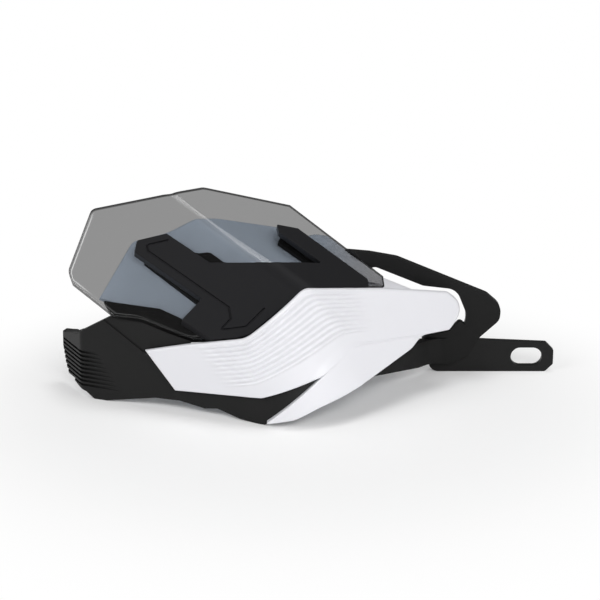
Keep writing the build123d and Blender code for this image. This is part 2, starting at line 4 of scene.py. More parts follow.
import bmesh
import bpy
import numpy as np
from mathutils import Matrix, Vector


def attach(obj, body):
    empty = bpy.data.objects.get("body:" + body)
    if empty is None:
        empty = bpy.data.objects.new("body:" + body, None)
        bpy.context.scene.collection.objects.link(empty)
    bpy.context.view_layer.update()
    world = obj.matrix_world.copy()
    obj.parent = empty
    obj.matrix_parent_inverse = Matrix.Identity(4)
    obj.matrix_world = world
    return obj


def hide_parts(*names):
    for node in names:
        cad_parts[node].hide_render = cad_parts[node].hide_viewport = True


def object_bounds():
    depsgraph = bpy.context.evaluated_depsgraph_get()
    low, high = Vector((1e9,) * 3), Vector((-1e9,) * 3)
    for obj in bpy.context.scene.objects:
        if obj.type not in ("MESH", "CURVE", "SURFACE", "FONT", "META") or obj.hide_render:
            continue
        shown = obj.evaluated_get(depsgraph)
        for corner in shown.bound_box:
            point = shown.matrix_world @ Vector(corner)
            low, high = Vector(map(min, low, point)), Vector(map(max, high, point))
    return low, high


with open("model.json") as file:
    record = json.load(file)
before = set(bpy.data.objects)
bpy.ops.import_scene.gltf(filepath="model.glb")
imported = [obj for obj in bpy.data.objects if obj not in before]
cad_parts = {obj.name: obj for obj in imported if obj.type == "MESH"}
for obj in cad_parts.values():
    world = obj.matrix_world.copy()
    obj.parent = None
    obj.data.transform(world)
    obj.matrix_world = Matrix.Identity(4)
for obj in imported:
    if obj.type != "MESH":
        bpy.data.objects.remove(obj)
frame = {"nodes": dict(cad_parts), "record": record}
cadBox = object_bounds()
nodes = frame["nodes"]
print("frame loaded:", len(nodes), "nodes")


class Sock:  # a node's output; operators on it add Math nodes
    def __init__(self, finish, socket):
        self.finish = finish
        self.socket = socket

    def maths(self, operation, first, second):
        return self.finish.add("ShaderNodeMath", {"operation": operation}, {0: first, 1: second})

    def __add__(self, other):
        return self.maths("ADD", self, other)

    def __sub__(self, other):
        return self.maths("SUBTRACT", self, other)

    def __rsub__(self, other):
        return self.maths("SUBTRACT", other, self)

    def __mul__(self, other):
        return self.maths("MULTIPLY", self, other)

    __radd__ = __add__
    __rmul__ = __mul__


class Finish:  # a node tree with one way to add nodes
    def __init__(self, tree):
        self.tree = tree

    def add(self, kind, settings=None, sockets=None, output=0):
        node = self.tree.nodes.new(kind)
        for name, value in (settings or {}).items():
            setattr(node, name, value)
        self.feed(node, sockets or {})
        return Sock(self, node.outputs[output])

    def feed(self, node, sockets):  # links each input to another node's output, or sets its value
        for name, value in sockets.items():
            if isinstance(value, Sock):
                self.tree.links.new(value.socket, node.inputs[name])
            else:
                node.inputs[name].default_value = value

    def noise(self, place, scale, detail):
        return self.add("ShaderNodeTexNoise", None, {"Vector": place, "Scale": scale, "Detail": detail})

    def blend(self, factor, first, second, way="MIX"):  # from one colour to the other
        settings = {"data_type": "RGBA", "blend_type": way}
        return self.add("ShaderNodeMix", settings, {"Factor": factor, 6: first, 7: second}, output=2)


def newFinish(name, constants):  # a Principled material with its fixed values set on the sockets
    material = bpy.data.materials.new(name)
    material.use_nodes = True
    finish = Finish(material.node_tree)
    finish.material = material
    finish.shader = material.node_tree.nodes["Principled BSDF"]
    finish.feed(finish.shader, constants)
    return finish


def grey(value):
    return (value, value, value)


def opaque(colour):
    return (*colour, 1.0)


def mouldedPlastic(name, look):  # pigment drift, a fine grain in the skin and a gloss that wanders a little; a look with a painted shade tint also gets a painted cool shade across x
    finish = newFinish(name, {"IOR": look["ior"]})
    place = finish.add("ShaderNodeTexCoord", output="Object")
    drift = finish.noise(place, look["driftScale"], look["driftDetail"])
    grain = finish.noise(place, look["grainScale"], look["grainDetail"])
    cellScale = look["grainScale"] * look["cellShare"]
    cells = finish.add("ShaderNodeTexVoronoi", None, {"Vector": place, "Scale": cellScale})
    colour = finish.blend(drift, opaque(look["dark"]), opaque(look["light"]))
    # painted shade: a cooler colour towards low x, standing in for the shade the smoked screen casts on what lies
    # behind it
    if "paintedShadeTint" in look:
        across = finish.add("ShaderNodeSeparateXYZ", None, {"Vector": place})
        low, high = look["paintedShadeEnds"]
        paintedCoolShade = finish.add("ShaderNodeMapRange", None, {"Value": across, "From Min": high, "From Max": low})
        colour = finish.blend(paintedCoolShade, colour, opaque(look["paintedShadeTint"]), "MULTIPLY")
    gloss = look["roughness"] + (drift - 0.5) * look["glossDrift"] + (grain - 0.5) * look["glossGrain"]
    height = grain * 0.5 + cells * 0.5
    bump = finish.add(
        "ShaderNodeBump", None, {"Strength": look["bump"], "Distance": look["bumpDepth"], "Height": height}
    )
    finish.feed(finish.shader, {"Base Color": colour, "Roughness": gloss, "Normal": bump})
    return finish.material


whiteLook = {
    "dark": (0.70, 0.70, 0.735),
    "light": (0.77, 0.77, 0.80),
    "ior": 1.46,
    "roughness": 0.36,
    "glossDrift": 0.08,
    "glossGrain": 0.10,
    "driftScale": 14.0,
    "driftDetail": 3.0,
    "grainScale": 1400.0,
    "grainDetail": 2.0,
    "cellShare": 0.6,  # the cells' scale as a share of the grain's
    "bump": 0.10,
    "bumpDepth": 0.00004,
}
# the flange's white with a painted cool shade where it lies behind the screen
flangePaintedShadeLook = dict(
    whiteLook,
    paintedShadeTint=(0.85, 0.985, 1.12),
    paintedShadeEnds=(-0.130, -0.095),  # x in metres: painted cool shade behind the screen, plain beside it
)
shellLook = dict(whiteLook, dark=grey(0.007), light=grey(0.010), ior=1.30, roughness=0.5, bump=0.12)
clampLook = dict(shellLook, dark=(0.0105, 0.0105, 0.0115), light=(0.0135, 0.0135, 0.0150), ior=1.18)
frameLook = dict(shellLook, dark=grey(0.0045), light=grey(0.0065), roughness=0.55)
bracketLook = dict(shellLook, roughness=0.42)
rubberLook = dict(shellLook, roughness=0.8)
carrierPaintedShadeLook = dict(shellLook, dark=grey(0.003), light=grey(0.004), ior=1.16)  # a darker copy of the shell's black: painted shade for the carrier behind the screen


def smokedSheet(name, look):  # tinted clear sheet: each face lets part of the light through
    finish = newFinish(name, {"IOR": look["ior"]})
    place = finish.add("ShaderNodeTexCoord", output="Object")
    haze = finish.noise(place, look["hazeScale"], look["hazeDetail"])
    # painted shade: the rim mask makes the sheet darker and less clear along its edges
    rim = finish.add("ShaderNodeAttribute", {"attribute_name": "rim"}, output="Fac")
    # painted highlight: the line mask paints a pale line along the sheet's outer edges
    line = finish.add("ShaderNodeAttribute", {"attribute_name": "line"}, output="Fac")
    colour = finish.blend(haze, opaque(look["dark"]), opaque(look["light"]))
    colour = finish.blend(line, colour, opaque(look["line"]))
    alpha = rim * look["paintedEdgeShadeAlpha"] + line * look["paintedHighlightAlpha"] + look["alpha"]
    gloss = look["roughness"] + haze * look["hazeGloss"]
    finish.feed(finish.shader, {"Base Color": colour, "Roughness": gloss, "Alpha": alpha})
    return finish.material


screenLook = {
    "alpha": 0.475,
    "paintedEdgeShadeAlpha": 0.45,
    "paintedHighlightAlpha": 0.5,
    "dark": grey(0.004),
    "light": grey(0.006),
    "line": grey(0.8),  # painted highlight: a pale line along the sheet's outer edges, standing in for the glint of light on them
    "ior": 1.5,
    "roughness": 0.03,
    "hazeGloss": 0.03,
    "hazeScale": 9.0,
    "hazeDetail": 2.0,
}


def plainMetal(name, look):  # turned metal with fine marks and a little tarnish
    finish = newFinish(name, {"Metallic": 1.0})
    place = finish.add("ShaderNodeTexCoord", output="Object")
    tarnish = finish.noise(place, look["tarnishScale"], look["tarnishDetail"])
    marks = finish.noise(place, look["markScale"], look["markDetail"])
    colour = finish.blend(tarnish, opaque(look["dark"]), opaque(look["light"]))
    bump = finish.add(
        "ShaderNodeBump", None, {"Strength": look["bump"], "Distance": look["bumpDepth"], "Height": marks}
    )
    gloss = look["roughness"] + (tarnish - 0.5) * look["glossDrift"]
    finish.feed(finish.shader, {"Base Color": colour, "Roughness": gloss, "Normal": bump})
    return finish.material


steelLook = {
    "dark": (0.42, 0.42, 0.43),
    "light": (0.6, 0.6, 0.61),
    "roughness": 0.34,
    "glossDrift": 0.2,
    "tarnishScale": 180.0,
    "tarnishDetail": 4.0,
    "markScale": 2600.0,
    "markDetail": 2.0,
    "bump": 0.15,
    "bumpDepth": 0.00003,
}
brassLook = dict(steelLook, dark=(0.5, 0.36, 0.14), light=(0.66, 0.5, 0.22), roughness=0.3)

finishes = {
    "white_moulding": mouldedPlastic("shieldWhite", whiteLook),
    "black_moulding": mouldedPlastic("shellBlack", shellLook),
    "satin_black": mouldedPlastic("clampBlack", clampLook),
    "frame_black": mouldedPlastic("frameBlack", frameLook),
    "bracket_black": mouldedPlastic("bracketCoat", bracketLook),
    "smoked_screen": smokedSheet("screenSmoke", screenLook),
    "screw_steel": plainMetal("screwSteel", steelLook),
    "insert_brass": plainMetal("insertBrass", brassLook),
    "grommet_rubber": mouldedPlastic("grommetRubber", rubberLook),
}
for subpart in frame["record"]["subparts"]:  # every CAD node takes the finish of its slot
    mesh = nodes[subpart["node"]].data
    mesh.materials.clear()
    mesh.materials.append(finishes[subpart["material_slot"]])
print("finishes:", len(finishes))

chin = np.array([-159.5, -95.8, -9.5])  # the shield's own corner in the frame, mm


def addPiece(name, mesh, slotName, node, finish):  # an object for a CAD node, in its own or its slot's finish
    mesh.shade_smooth()
    mesh.materials.append(finish or finishes[slotName])
    piece = bpy.data.objects.new(name, mesh)
    bpy.context.collection.objects.link(piece)
    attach(piece, "root")
    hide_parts(node)
    return piece


def meshPiece(name, points, faces, slotName, node, finish=None):  # a closed piece from arrays in mm, from the chin
    mesh = bpy.data.meshes.new(name)
    mesh.from_pydata(((points + chin) * 0.001).tolist(), [], faces)
    return addPiece(name, mesh, slotName, node, finish)


def closedSheet(front, rear):  # two grids of points, front and rear, and the wall that joins their edges
    rows, columns = front.shape[:2]
    place = np.arange(rows * columns).reshape(rows, columns)
    cells = np.stack([place[:-1, :-1], place[1:, :-1], place[1:, 1:], place[:-1, 1:]], -1).reshape(-1, 4)
    rim = np.concatenate([place[0, :-1], place[:-1, -1], place[-1, :0:-1], place[:0:-1, 0]])
    after = np.roll(rim, -1)
    behind = rows * columns
    wall = np.stack([rim, after, after + behind, rim + behind], -1)
    points = np.concatenate([front.reshape(-1, 3), rear.reshape(-1, 3)])
    return points, np.concatenate([cells, cells[:, ::-1] + behind, wall]).tolist()


def softStep(value):  # 0 below 0, 1 above 1, and a smooth S between
    held = np.clip(value, 0.0, 1.0)
    return held * held * (3.0 - 2.0 * held)


def bunched(count, share):  # 0 to 1, with closer steps towards both ends
    even = np.linspace(0.0, 1.0, count)
    return even * (1.0 - share) + (0.5 - 0.5 * np.cos(np.pi * even)) * share


def gridShares(rows, columns):  # shares along a sheet and up it, each from a count and how far it bunches
    return bunched(*rows)[:, None], bunched(*columns)[None, :]


def along(corners, s):  # from a path's first corner to its last
    return corners[0][0] + (corners[-1][0] - corners[0][0]) * s


def softPath(corners, x, soft):  # height of a line through corners, its bends rounded by averaging over a window
    line = np.array(corners, float)
    start = line[0] - (line[1] - line[0])
    end = line[-1] + (line[-1] - line[-2])
    line = np.vstack([start, line, end])
    window = np.linspace(-soft, soft, 15)
    return np.interp(x[..., None] + window, line[:, 0], line[:, 1]).mean(-1)


def edgeRoll(distance, radius):  # how far a rounded edge falls back: a quarter circle within its radius
    near = 1.0 - np.clip(distance / radius, 0.0, 1.0)
    return radius * (1.0 - np.sqrt(1.0 - near * near))


wings = {"left": radians(22.0), "right": radians(38.0), "noseX": 35.5, "radius": 65.0, "side": 0.45, "rake": 0.30}


def formDepth(x, z, back):  # y of the outer form: two straight wings and a round nose in plan, leaning with height
    planX = x + wings["side"] * z
    noseY = -wings["noseX"] * np.tan(wings["left"])
    half = (wings["left"] + wings["right"]) / 2
    bias = (wings["right"] - wings["left"]) / 2
    centreX = wings["noseX"] - np.sin(bias) * wings["radius"] / np.cos(half)
    centreY = noseY + np.cos(bias) * wings["radius"] / np.cos(half)
    radius = wings["radius"] - back
    left = noseY + (wings["noseX"] - planX) * np.tan(wings["left"]) + back / np.cos(wings["left"])
    right = noseY + (planX - wings["noseX"]) * np.tan(wings["right"]) + back / np.cos(wings["right"])
    side = np.clip((planX - centreX) / radius, -np.sin(wings["left"]), np.sin(wings["right"]))
    nose = centreY - radius * np.sqrt(1.0 - side * side)
    planY = np.where(side <= -np.sin(wings["left"]), left, np.where(side >= np.sin(wings["right"]), right, nose))
    return planY + wings["rake"] * z


def onForm(x, z, back):  # points at a depth behind the outer form, seen from the front
    return np.stack([x, formDepth(x, z, back), z], -1)


face = {
    "top": [(-67.8, 34.5), (-42.4, 41.5), (-9.0, 48.8), (23.5, 73.8), (72.9, 63.8), (109.0, 54.6)],
    "low": [(-50.4, 13.5), (0.0, 16.1), (33.4, 27.2), (51.0, 37.2), (89.0, 33.8), (93.5, 35.9), (110.0, 35.0)],
    "crease": [(33.4, 27.2), (51.0, 39.3), (60.0, 39.4), (92.0, 36.0)],
    "topSoft": 3.2,
    "lowSoft": 0.9,
    "creaseSoft": 2.0,
    "grid": ((320, 0.35), (130, 0.45)),
    "thick": 3.2,
    "clearance": 0.2,  # what the sheets above the shield keep from it
    "roll": 0.9,
    "lean": 0.9,  # the top and low edges' distance, square to them, as a share of the height
    "length": 172.0,
    "endBulge": 7.5,
    "bulgeFrom": 0.9,
    "bendDrift": (0.27, 0.86),  # how far each of the edge's two bends moves in x with each mm of level
    "bendSoft": (1.2, 2.0, 0.5),  # rounding of the first bend, and of the second with its growth
    "deepest": 30.0,
    "ribPitch": 2.5,
    "ribRise": 0.85,
    "ribPeak": 0.34,  # where in its pitch a rib is highest
    "ribRange": (1.1, 24.5),
    "ribFirst": (0.3, 0.6),  # fading at the first level: how far before it and over what length
    "ribLast": (1.0, 2.0),
    "ribStart": (-43.0, 0.75, 16.0),  # x at level 0, drift with level and length of the fading
    "ribEnd": (42.0, 0.2, 20.0),
    "tailRise": 1.1,
    "rampStart": (29.0, 8.0),  # the slope up to the tail: x and length of its start and end
    "rampEnd": (96.0, 5.0),
    "rampWidth": (8.0, 1.0, 40.0, 22.0),  # wide, narrow, and where it narrows over what length
    "rampUnder": 0.5,
}


def ribLevel(x, z):  # distance below the top edge, measured so that each level repeats the edge's two bends
    (x1, z1), (x2, z2), (x3, z3), (x4, z4) = face["top"][1:5]
    leftDrift, rightDrift = face["bendDrift"]
    leftSlope, rightSlope = (z2 - z1) / (x2 - x1), (z4 - z3) / (x4 - x3)
    left = (z2 + leftSlope * (x - x2) - z) / (1.0 + leftDrift * leftSlope)
    right = (z3 + rightSlope * (x - x3) - z) / (1.0 + rightDrift * rightSlope)
    middle = np.zeros_like(x)
    for step in range(6):  # the rising part leans less with each level, so its level is found by repeating
        run = x3 - x2 + (rightDrift - leftDrift) * np.clip(middle, 0, face["deepest"])
        middle = z2 + (x - x2 - leftDrift * middle) * (z3 - z2) / run - z
    firstSoft, secondSoft, growth = face["bendSoft"]
    rising = 0.5 * (left + middle + np.sqrt((left - middle) ** 2 + firstSoft))
    soft = secondSoft + growth * np.clip(right, 0, face["deepest"])
    return 0.5 * (rising + right - np.sqrt((rising - right) ** 2 + soft))


def ribHeight(x, z):  # each rib rises quickly from above and falls slowly below, fading out at both ends
    level = ribLevel(x, z)
    low, high = face["ribRange"]
    peak = face["ribPeak"]
    turn = np.mod((level - low) / face["ribPitch"], 1.0)
    wave = np.where(turn < peak, softStep(turn / peak), 1.0 - softStep((turn - peak) / (1.0 - peak)))
    (before, firstSoft), (inside, lastSoft) = face["ribFirst"], face["ribLast"]
    within = softStep((level - low + before) / firstSoft) * (1.0 - softStep((level - high + inside) / lastSoft))
    (startX, startDrift, startSoft), (endX, endDrift, endSoft) = face["ribStart"], face["ribEnd"]
    start = softStep((x - startX - startDrift * level) / startSoft)
    end = 1.0 - softStep((x - endX - endDrift * level) / endSoft)
    return face["ribRise"] * wave * within * start * end


def tailRamp(x, z):  # 1 at the crease and 0 above it, narrower to the right and fading out at both ends
    above = z - softPath(face["crease"], x, face["creaseSoft"])
    wide, narrow, narrowX, narrowSoft = face["rampWidth"]
    width = wide + (narrow - wide) * softStep((x - narrowX) / narrowSoft)
    (startX, startSoft), (endX, endSoft) = face["rampStart"], face["rampEnd"]
    ramp = (1.0 - softStep(above / width)) * softStep((x - startX) / startSoft) * softStep((endX - x) / endSoft)
    return ramp * softStep(1.0 + above / face["rampUnder"])  # back under the tail, so that the two never coincide


def buildFace():  # the shield's wall between its low and top edges, its end bulging, with ribs and the tail's slope
    s, t = gridShares(*face["grid"])
    lowX, topX = along(face["low"], s), along(face["top"], s)
    lowZ = softPath(face["low"], lowX, face["lowSoft"])
    topZ = softPath(face["top"], topX, face["topSoft"])
    bulge = face["endBulge"] * softStep((s - face["bulgeFrom"]) / (1.0 - face["bulgeFrom"]))
    x = lowX + (topX - lowX) * t + bulge * 4.0 * t * (1.0 - t)
    z = lowZ + (topZ - lowZ) * t
    tall = (topZ - lowZ) * face["lean"]
    edge = np.minimum(np.minimum(t, 1.0 - t) * tall, np.minimum(s, 1.0 - s) * face["length"])
    roll = edgeRoll(edge, face["roll"])
    height = np.maximum(ribHeight(x, z), 0.0) + face["tailRise"] * tailRamp(x, z)
    front = onForm(x, z, roll - height)
    rear = onForm(x, z, face["thick"] - roll)
    return meshPiece("shieldFace", *closedSheet(front, rear), "white_moulding", "main_shield")


tail = {
    "low": [(2.8, 2.2), (18.7, 5.5), (33.0, 12.0), (56.0, 19.5), (86.9, 31.2), (92.0, 35.6)],
    "top": [(2.8, 2.9), (33.4, 27.2), (51.0, 39.3), (60.0, 39.4), (92.0, 36.2)],
    "lowSoft": 1.5,
    "topSoft": 1.2,
    "grid": ((220, 0.3), (60, 0.6)),
    "least": 0.25,  # the height left at its pointed ends
    "roll": 0.7,
    "lean": 0.92,
    "topRoll": 0.4,
    "rearRoll": 0.5,
    "sharp": 0.25,  # the top edge's rounding is this share between the two places
    "sharpBefore": (34.0, 3.0),
    "sharpAfter": (46.0, 20.0),
}


def buildTail():  # the raised tail under the crease: a sheet between two paths, its top edge sharp beside the bend
    s, t = gridShares(*tail["grid"])
    x = along(tail["low"], s) + 0.0 * t
    lowZ = softPath(tail["low"], x, tail["lowSoft"])
    topZ = np.maximum(softPath(tail["top"], x, tail["topSoft"]), lowZ + tail["least"])
    tall = topZ - lowZ
    z = lowZ + tall * t
    (beforeX, beforeSoft), (afterX, afterSoft) = tail["sharpBefore"], tail["sharpAfter"]
    blunt = softStep((x - afterX) / afterSoft) + softStep((beforeX - x) / beforeSoft)
    crisp = np.minimum(tail["sharp"] + (1.0 - tail["sharp"]) * blunt, 1.0)
    roll = edgeRoll(t * tall * tail["lean"], tail["roll"]) + edgeRoll((1.0 - t) * tall / crisp, tail["topRoll"])
    front = onForm(x, z, roll - face["tailRise"])
    rear = onForm(x, z, face["thick"] - tail["rearRoll"] * roll)
    return meshPiece("shieldTail", *closedSheet(front, rear), "white_moulding", "main_shield")


hood = {
    "foot": (24.9, 27.3, 73.9),
    "run": (-77.0, 43.5, 46.0),
    "across": (0.623, 0.665, 0.412),
    "slope": radians(24.25),
    "radius": 15.0,
}


def hoodAxes():  # unit vectors across the ridge, along it and out of the hood
    run = np.array(hood["run"]) / np.linalg.norm(hood["run"])
    across = np.array(hood["across"]) - np.dot(hood["across"], run) * run
    across = across / np.linalg.norm(across)
    return across, run, np.cross(across, run)


def onHood(p, q, back, ridge):  # two facets that meet in a ridge of that radius: p across the ridge, q along it
    across, run, out = hoodAxes()
    radius = ridge - back
    flat = -np.abs(p) * np.tan(hood["slope"]) - back / np.cos(hood["slope"])
    bend = np.sqrt(np.maximum(radius**2 - p**2, 0.0)) - ridge / np.cos(hood["slope"])
    rise = np.where(np.abs(p) < radius * np.sin(hood["slope"]), bend, flat)
    return np.array(hood["foot"]) + p[..., None] * across + q[..., None] * run + rise[..., None] * out


def hoodBack(point):  # how far a point lies behind the hood's front
    across, run, out = hoodAxes()
    away = point - np.array(hood["foot"])
    p, rise = away @ across, away @ out
    centre = hood["radius"] / np.cos(hood["slope"])
    if abs(p) < (rise + centre) * np.tan(hood["slope"]):
        return hood["radius"] - np.hypot(p, rise + centre)
    return -(rise + abs(p) * np.tan(hood["slope"])) * np.cos(hood["slope"])


def aboveShield(point):  # over the shield's top edge, or behind its wall
    x, y, z = point[..., 0], point[..., 1], point[..., 2]
    over = z > softPath(face["top"], x, face["topSoft"]) + face["clearance"]
    return over | (y > formDepth(x, z, face["thick"] + face["clearance"]))


def behindShield(point):  # behind the middle of the shield's wall
    x, y, z = point[..., 0], point[..., 1], point[..., 2]
    return y > formDepth(x, z, face["thick"] / 2)


arm = {"frontY": 86.6, "startX": 26.0}  # where the frame's upper arm meets the flange


def beforeArm(point):  # in front of the frame's arm, or to its left
    return (point[..., 1] < arm["frontY"]) | (point[..., 0] < arm["startX"])


def anywhere(point):
    return np.ones(point.shape[:-1], bool)


def lowestGood(pointAt, good, columns):  # by halving, how far down each column stays clear of what lies below
    bad = np.zeros((columns, 1))
    fine = np.ones((columns, 1))
    for step in range(24):
        middle = (bad + fine) / 2
        clear = good(pointAt(middle))
        fine = np.where(clear, middle, fine)
        bad = np.where(clear, bad, middle)
    return np.where(good(pointAt(np.zeros_like(bad))), 0.0, fine)


def hoodSheet(piece):  # a sheet on the hood between a top and a low path, with rounded edges, and masks for a painted dark edge band and a painted highlight line
    s, t = gridShares(*piece["grid"])
    s = np.sort(np.concatenate([s, np.linspace(*piece["ridgeRows"])[:, None]]), 0)  # closer rows at the ridge
    topP, lowP = along(piece["top"], s), along(piece["low"], s)
    topQ = softPath(piece["top"], topP, piece["soft"])
    lowQ = softPath(piece["low"], lowP, piece["soft"])
    middle = (piece["front"] + piece["back"]) / 2

    def pointAt(share):
        return onHood(lowP + (topP - lowP) * share, lowQ + (topQ - lowQ) * share, middle, hood["radius"])

    floor = lowestGood(pointAt, piece["floor"], len(s))
    roof = 1.0 - lowestGood(lambda share: pointAt(1.0 - share), piece["roof"], len(s))
    share = floor + (roof - floor) * t
    p = lowP + (topP - lowP) * share
    q = lowQ + (topQ - lowQ) * share
    tall = np.hypot(topP - lowP, topQ - lowQ) * (roof - floor) * piece["lean"]
    wide = topP[-1] - topP[0]
    edge = np.minimum(np.minimum(t, 1.0 - t) * tall, np.minimum(s, 1.0 - s) * wide)
    roll = edgeRoll(edge, piece["roll"])
    end = 1.0 - softStep((p - piece["endTurn"]) / piece["endSoft"])  # 1 along the two edges at the outer end
    bevel = piece["bevelDrop"] * np.clip(1.0 - edge / piece["bevelWidth"], 0.0, 1.0) * (1.0 - end)
    # painted shade: a dark band along the edges, paler at the outer end
    rim = (1.0 - softStep((edge - piece["paintedEdgeShadeWidth"]) / piece["paintedEdgeShadeWidth"])) * (1.0 - piece["endPale"] * end)
    # painted highlight: a pale line inside the outer end's edges, stronger towards the top
    (lineIn, lineHalf), (least, lineQ, lineSoft) = piece["line"], piece["paintedHighlightFade"]
    line = np.clip(1.0 - np.abs(edge - lineIn) / lineHalf, 0.0, 1.0) * end
    line = (line * (least + (1.0 - least) * softStep((q - lineQ) / lineSoft))).ravel()
    ridge = softPath(piece["ridge"], q, piece["ridgeSoft"])
    front = onHood(p, q, piece["front"] + roll + bevel, ridge)
    points, faces = closedSheet(front, onHood(p, q, piece["back"] - roll, ridge))
    return points, faces, np.tile(rim.ravel(), 2), np.concatenate([line, 0.0 * line])


plainSheet = {  # what a sheet on the hood has unless its own values differ
    "ridge": [(0.0, hood["radius"]), (100.0, hood["radius"])],
    "ridgeSoft": 4.0,
    "lean": 0.85,
    "floor": aboveShield,
    "roof": anywhere,
    "bevelDrop": 0.0,
    "bevelWidth": 1.0,
    "paintedEdgeShadeWidth": 0.3,
    "endTurn": -400.0,
    "endSoft": 4.0,
    "endPale": 0.6,
    "line": (1.9, 0.5),  # the painted highlight line's distance from the edge and half width
    "paintedHighlightFade": (0.2, 96.0, 14.0),  # its least strength, and where it grows over what length
}
flange = dict(
    plainSheet,
    top=[(-65.0, 96.5), (-30.0, 103.0), (-15.0, 89.5), (11.7, 75.5), (42.0, 49.0), (66.0, -11.0), (90.0, -50.0)],
    low=[(-64.5, 95.5), (-56.0, 70.0), (-50.0, 36.0), (-46.0, 4.0), (-22.0, -14.0), (20.0, -36.0), (62.0, -62.0)],
    front=9.6,
    back=12.1,
    roll=0.6,
    soft=2.5,
    grid=((200, 0.5), (70, 0.6)),
    ridgeRows=(0.455, 0.625, 30),
    floor=behindShield,
    roof=beforeArm,
)
lip = dict(
    plainSheet,
    top=[(46.0, 33.0), (54.0, 31.0), (60.0, 26.0)],
    low=[(46.0, -14.0), (52.0, -20.0), (58.2, -17.0)],
    front=6.25,
    back=6.36,
    roll=0.05,
    soft=1.0,
    grid=((40, 0.5), (40, 0.6)),
    ridgeRows=(0.455, 0.625, 2),
)
screen = dict(
    plainSheet,
    top=[
        *[(-70.2, 112.6), (-66.0, 120.5), (-31.8, 133.9), (-7.5, 109.7)],
        *[(0.5, 101.8), (6.6, 100.8), (24.1, 96.0), (61.8, 56.4)],
    ],
    low=[(-70.5, 82.0), (-62.0, 66.5), (-54.5, 34.5), (-35.0, 11.5), (4.0, 1.5), (51.0, -24.0), (59.0, -17.5)],
    front=4.2,
    back=6.2,
    roll=0.6,
    soft=1.6,
    grid=((200, 0.5), (110, 0.6)),
    ridgeRows=(0.455, 0.625, 110),
    ridge=[
        *[(20.0, 29.0), (30.0, 29.0), (38.0, 24.0), (46.0, 19.5), (56.0, 14.5)],
        *[(66.0, 11.5), (86.0, 10.5), (94.0, 13.0), (130.0, 13.0)],
    ],
    bevelDrop=0.55,
    bevelWidth=2.4,
    paintedEdgeShadeWidth=0.55,
    endTurn=-36.0,
)


def turnedPieces(profiles, sides):  # for each seat, a profile of radius and reach turned about its axis, with end caps
    turn = np.linspace(0.0, 2.0 * np.pi, sides, endpoint=False)
    points, faces, count = [], [], 0
    for origin, axis, profile in profiles:
        radius, reach = np.array(profile).T
        ring = count + np.arange(len(radius) * len(turn)).reshape(len(radius), len(turn))
        beside = np.roll(ring, -1, 1)
        cells = np.stack([ring[:-1], ring[1:], beside[1:], beside[:-1]], -1).reshape(-1, 4)
        axis = np.array(axis) / np.linalg.norm(axis)
        side = np.cross((0.0, 0.0, 1.0), axis)
        side = side / np.linalg.norm(side)
        around = np.cos(turn)[:, None] * side + np.sin(turn)[:, None] * np.cross(axis, side)
        faces += cells[:, ::-1].tolist() + [ring[0, ::-1].tolist(), ring[-1].tolist()]
        points.append((np.array(origin) + radius[:, None, None] * around + reach[:, None, None] * axis).reshape(-1, 3))
        count += ring.size
    return np.concatenate(points), faces


bosses = {
    "sides": 48,
    "flangePlaces": [(40.0, 62.5), (53.0, 60.0)],
    "flangeEnd": arm["frontY"],
    "flangeAxis": (0.0, 1.0, 0.0),
    "flangeProfile": [(5.0, -15.0), (5.0, -0.4), (4.6, 0.0), (3.9, 0.0), (3.9, -9.0)],  # wall, chamfer and pocket
    "wallPlaces": [(-47.0, 20.5), (-31.0, 21.0), (-15.0, 21.5)],
    "wallAxis": (np.sin(wings["left"]), np.cos(wings["left"]), -0.11),
    "wallProfile": [(3.5, -1.0), (3.5, 2.8)],
}


def buildBosses():  # two turned bosses on the flange and three on the wall's rear
    seats = []
    for x, z in bosses["flangePlaces"]:
        seats.append(((x, bosses["flangeEnd"], z), bosses["flangeAxis"], bosses["flangeProfile"]))
    for x, z in bosses["wallPlaces"]:
        seats.append((onForm(np.array(x), np.array(z), face["thick"]), bosses["wallAxis"], bosses["wallProfile"]))
    return meshPiece("shieldBosses", *turnedPieces(seats, bosses["sides"]), "white_moulding", "main_shield")


buildFace()
buildTail()
# the flange and lip take the white moulding with a painted cool shade behind the screen
flangeWhitePaintedShade = mouldedPlastic("flangeWhitePaintedShade", flangePaintedShadeLook)
for name, piece in {"shieldFlange": flange, "shieldLip": lip}.items():
    points, faces = hoodSheet(piece)[:2]
    meshPiece(name, points, faces, "white_moulding", "main_shield", flangeWhitePaintedShade)
buildBosses()
points, faces, rim, line = hoodSheet(screen)
sheet = meshPiece("smokedSheet", points, faces, "smoked_screen", "wind_screen")
sheet.visible_shadow = False  # the clear sheet throws no dark shadow on what it covers
sheet.visible_diffuse = False
sheet.visible_glossy = False
# the painted shade and painted highlight masks go onto the sheet
for name, values in {"rim": rim, "line": line}.items():
    sheet.data.attributes.new(name, "FLOAT", "POINT").data.foreach_set("value", values.astype(np.float32))
print("shield and screen surfaces done")

rounding = {
    "merge": 0.000002,
    "flat": radians(0.4),
    "sharp": radians(40),
    "leastArea": 0.00001,
    "room": 2.2,  # the least length of a neighbour, in widths of the rounding
    "segments": 3,
    "atFront": 0.1,  # mm behind the hood's front, for an edge that lies on it
    "through": 2.0,  # mm behind the hood's front, for a wall that runs right through
}


